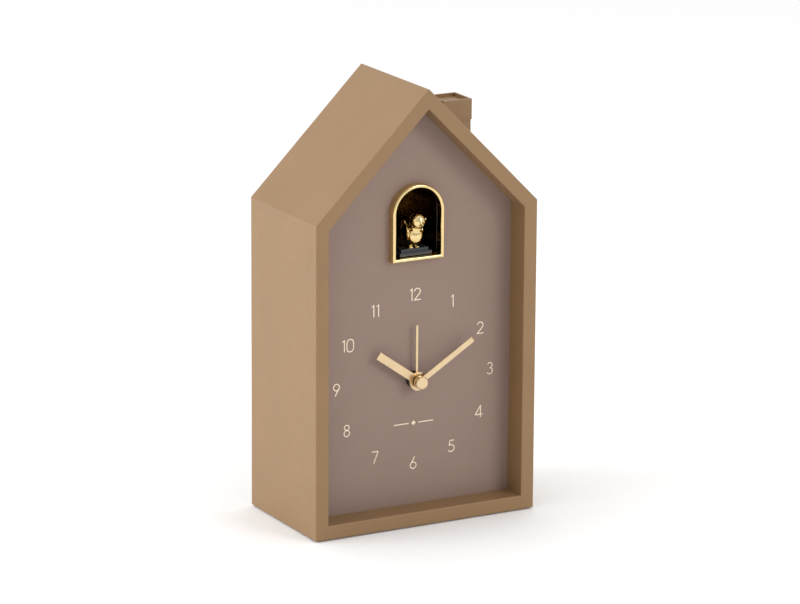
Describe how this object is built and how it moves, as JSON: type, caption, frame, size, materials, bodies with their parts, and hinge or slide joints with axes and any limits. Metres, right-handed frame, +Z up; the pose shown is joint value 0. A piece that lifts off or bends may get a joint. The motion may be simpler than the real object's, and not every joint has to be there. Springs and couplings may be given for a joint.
{
  "type": "cuckoo clock",
  "caption": "House-shaped table alarm clock with a recessed dial, three hands, an arched window with a sliding bird and a chimney snooze button.",
  "frame": {"origin": "bottom centre of the clock, on the underside of the rubber feet, midway in width and depth", "axes": "+Z up, +X to the right as seen from the dial, the dial faces -Y"},
  "size_m": [0.117, 0.066, 0.2099],
  "materials": {
    "case_plastic": "fine matte, sand brown, moulded",
    "rear_plastic": "fine matte, sand brown, moulded",
    "dial_plastic": "matt mauve taupe",
    "gold_print": "satin pale gold foil",
    "gold_satin": "satin pale gold, plated",
    "gold_chrome": "mirror gold vacuum plating on moulded plastic",
    "niche_gloss": "glossy black brown",
    "plinth_plastic": "dark charcoal",
    "black_plastic": "black moulded",
    "white_plastic": "off white moulded",
    "gear_plastic": "natural acetal",
    "zinc_steel": "zinc plated",
    "spring_steel": "nickel plated",
    "brass": "turned",
    "copper": "enamelled copper wire, wound",
    "foot_rubber": "matt",
    "board_green": "solder mask on glass laminate",
    "cell_wrap": "shrink wrap",
    "speaker_paper": "pressed paper cone"
  },
  "bodies": {
    "case": {"case_shell": "case_plastic", "rear_cover": "rear_plastic", "cover_screws": "zinc_steel", "rubber_feet": "foot_rubber", "snooze_spring": "spring_steel", "snooze_switch": "black_plastic", "snooze_seat": "black_plastic", "dial_plate": "dial_plastic", "hour_numerals": "gold_print", "dial_ornament": "gold_print", "window_frame": "gold_chrome", "niche_box": "niche_gloss", "movement_case": "black_plastic", "movement_lid": "black_plastic", "movement_stator": "spring_steel", "movement_coil": "copper", "movement_board": "board_green", "bird_gearbox": "black_plastic", "bird_motor": "spring_steel", "bird_bracket": "black_plastic", "bird_rails": "niche_gloss", "battery_tray": "black_plastic", "battery_cells": "cell_wrap", "battery_springs": "spring_steel", "battery_plates": "spring_steel", "speaker_frame": "spring_steel", "speaker_cone": "speaker_paper", "speaker_magnet": "zinc_steel", "main_board": "board_green", "board_parts": "black_plastic", "alarm_switch_body": "black_plastic", "sound_switch_body": "black_plastic"},
    "snooze_button": {"chimney_cap": "case_plastic", "chimney_collar": "case_plastic"},
    "minute_train": {"minute_arbor": "brass", "minute_hand": "gold_satin"},
    "hour_train": {"hour_wheel": "gear_plastic", "hour_hand": "gold_satin"},
    "alarm_train": {"alarm_wheel": "gear_plastic", "alarm_hand": "gold_satin"},
    "motion_train": {"motion_wheel": "gear_plastic"},
    "time_setter": {"time_knob": "rear_plastic"},
    "alarm_setter": {"alarm_knob": "rear_plastic"},
    "bird_carriage": {"bird_plinth": "plinth_plastic", "bird_rack": "gear_plastic", "bird": "gold_chrome"},
    "bird_drive": {"bird_pinion": "gear_plastic"},
    "alarm_slider": {"alarm_switch_slider": "white_plastic"},
    "sound_slider": {"sound_switch_slider": "white_plastic"},
    "door": {"battery_door": "rear_plastic"}
  },
  "joints": [
    {"name": "minute_turn", "type": "hinge", "parent": "case", "child": "minute_train", "pos_m": [0, -0.0126, 0.0686], "axis": [0, 1, 0], "continuous": true},
    {"name": "hour_turn", "type": "hinge", "parent": "case", "child": "hour_train", "pos_m": [0, -0.0141, 0.0686], "axis": [0, 1, 0], "continuous": true},
    {"name": "motion_turn", "type": "hinge", "parent": "case", "child": "motion_train", "pos_m": [-0.00771, -0.0121, 0.07779], "axis": [0, 1, 0], "continuous": true},
    {"name": "time_knob_turn", "type": "hinge", "parent": "case", "child": "time_setter", "pos_m": [-0.01899, -0.0123, 0.07369], "axis": [0, 1, 0], "continuous": true},
    {"name": "alarm_turn", "type": "hinge", "parent": "case", "child": "alarm_train", "pos_m": [0, -0.0158, 0.0686], "axis": [0, 1, 0], "continuous": true},
    {"name": "alarm_knob_turn", "type": "hinge", "parent": "case", "child": "alarm_setter", "pos_m": [0.0114, -0.016, 0.07369], "axis": [0, 1, 0], "continuous": true},
    {"name": "bird_slide", "type": "slide", "parent": "case", "child": "bird_carriage", "axis": [0, -1, 0], "range_m": [0, 0.012]},
    {"name": "bird_drive_turn", "type": "hinge", "parent": "case", "child": "bird_drive", "pos_m": [0, 0.0015, 0.1171], "axis": [1, 0, 0], "range_deg": [-5, 235]},
    {"name": "snooze_press", "type": "slide", "parent": "case", "child": "snooze_button", "axis": [0, 0, -1], "range_m": [0, 0.0008], "stiffness_N_per_m": 600, "springref_m": -0.0008, "deforming": ["snooze_spring"]},
    {"name": "alarm_switch_slide", "type": "slide", "parent": "case", "child": "alarm_slider", "axis": [-1, 0, 0], "range_m": [0, 0.003]},
    {"name": "sound_switch_slide", "type": "slide", "parent": "case", "child": "sound_slider", "axis": [-1, 0, 0], "range_m": [0, 0.003]},
    {"name": "battery_door_hinge", "type": "hinge", "parent": "case", "child": "door", "pos_m": [0, 0.029, 0.0129], "axis": [-1, 0, 0], "range_deg": [0, 100]}
  ],
  "couplings": [
    {"joint": "motion_turn", "follows": "minute_turn", "ratio": -0.33333},
    {"joint": "hour_turn", "follows": "minute_turn", "ratio": 0.083333},
    {"joint": "time_knob_turn", "follows": "minute_turn", "ratio": 1},
    {"joint": "alarm_knob_turn", "follows": "alarm_turn", "ratio": -3.3333},
    {"joint": "bird_drive_turn", "follows": "bird_slide", "rad_per_m": 333.33}
  ]
}
